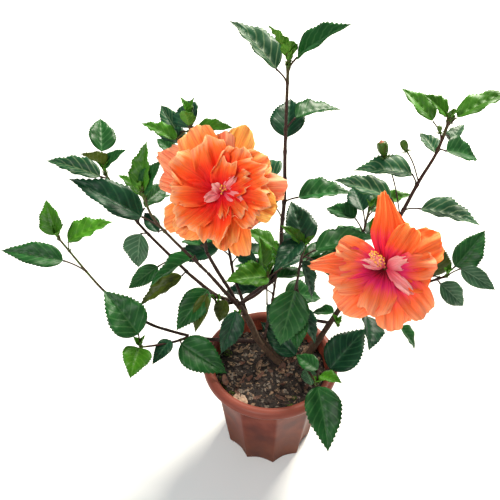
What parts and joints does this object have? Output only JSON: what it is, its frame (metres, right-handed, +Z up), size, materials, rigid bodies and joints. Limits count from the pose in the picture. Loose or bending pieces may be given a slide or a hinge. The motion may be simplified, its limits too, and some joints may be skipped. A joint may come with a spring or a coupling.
{
  "type": "potted double-orange hibiscus shrub",
  "caption": "Young branching hibiscus shrub with glossy toothed leaves and ruffled orange double blooms, growing in a fluted terracotta-coloured plastic pot.",
  "frame": {"origin": "centre of the pot's flat underside, on the pot's axis", "axes": "+Z up along the pot's axis; +X to the right of the side the blooms face, +Y towards the back"},
  "size_m": [0.7058, 0.3693, 0.7782],
  "materials": {
    "pot": "worn moulded",
    "soil": "bark compost",
    "bark": "rough bark",
    "petals": "soft matt",
    "leaves": "glossy leaf"
  },
  "bodies": {
    "root": {"pot": "pot", "soil": "soil", "main_stem": "bark", "right_stem": "bark", "tall_bough": "bark", "centre_bough": "bark", "centre_right_bough": "bark", "left_bough": "bark", "front_left_bough": "bark", "left_flower_bough": "bark", "low_left_bough": "bark", "far_left_bough": "bark", "right_flower_bough": "bark", "far_right_bough": "bark", "back_left_bough": "bark", "back_right_bough": "bark", "back_low_bough": "bark", "left_bloom": "petals", "right_bloom": "petals", "tall_shoot_leaves": "leaves", "centre_shoot_leaves": "leaves", "centre_right_shoot_leaves": "leaves", "left_shoot_leaves": "leaves", "front_left_shoot_leaves": "leaves", "left_flower_shoot_leaves": "leaves", "low_left_shoot_leaves": "leaves", "far_left_shoot_leaves": "leaves", "fork_shoot_leaves": "leaves", "stem_shoot_leaves": "leaves", "low_right_shoot_leaves": "leaves", "right_stem_spur_leaves": "leaves", "under_flower_shoot_leaves": "leaves", "right_shoot_leaves": "leaves", "far_right_shoot_leaves": "leaves", "back_left_shoot_leaves": "leaves", "back_right_shoot_leaves": "leaves", "back_low_shoot_leaves": "leaves"}
  },
  "joints": []
}
